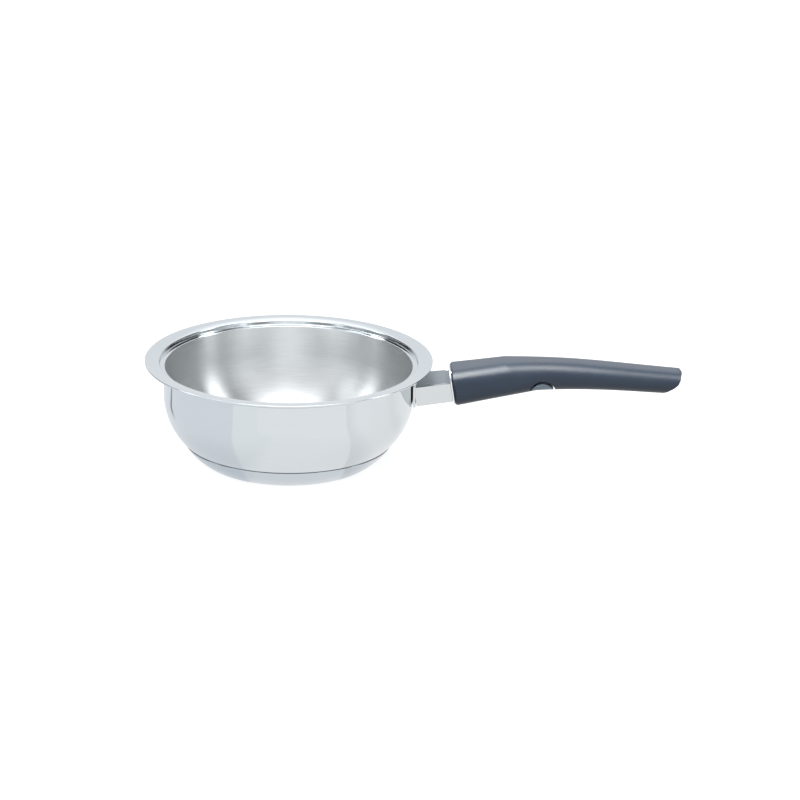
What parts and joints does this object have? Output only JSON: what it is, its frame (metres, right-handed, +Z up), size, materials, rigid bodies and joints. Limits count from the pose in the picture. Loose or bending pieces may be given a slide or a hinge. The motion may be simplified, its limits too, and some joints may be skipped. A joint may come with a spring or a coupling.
{
  "type": "saucier pan",
  "caption": "Rounded stainless saucier pan with a wide rim, encapsulated base, welded bracket and a dark latched handle with a half-moon release button.",
  "frame": {"origin": "centre of the underside of the base, on the axis of the bowl", "axes": "+Z up along the axis of the bowl, +X along the handle, outwards"},
  "size_m": [0.4349, 0.233, 0.0867],
  "materials": {
    "polished_steel": "mirror polished stainless steel outside, fine circular brushing inside",
    "base_steel": "polished stainless steel",
    "core_aluminium": "plain, enclosed",
    "satin_steel": "satin blasted steel with bright sides",
    "guard_steel": "satin sheet",
    "latch_steel": "plain sheet",
    "fastener_steel": "bright",
    "spring_steel": "drawn wire",
    "handle_plastic": "fine matte phenolic moulding, blue grey",
    "plug_plastic": "matte moulding",
    "button_plastic": "fine matte moulding"
  },
  "bodies": {
    "pan": {"pan_shell": "polished_steel", "base_capsule": "base_steel", "base_core": "core_aluminium", "handle_bracket": "satin_steel", "latch_tongue": "latch_steel", "heat_guard": "guard_steel", "guard_screws": "fastener_steel", "latch_housing": "latch_steel", "handle_body": "handle_plastic", "end_plug": "plug_plastic", "pivot_pin": "fastener_steel", "return_spring": "spring_steel"},
    "lever": {"latch_lever": "latch_steel", "release_button": "button_plastic"}
  },
  "joints": [
    {"name": "release_lever", "type": "hinge", "parent": "pan", "child": "lever", "pos_m": [0.17787, 0, 0.06557], "axis": [0, -1, 0], "range_deg": [0, 5], "stiffness_Nm_per_rad": 0.3175, "springref_deg": -17.19, "deforming": ["return_spring"]}
  ]
}
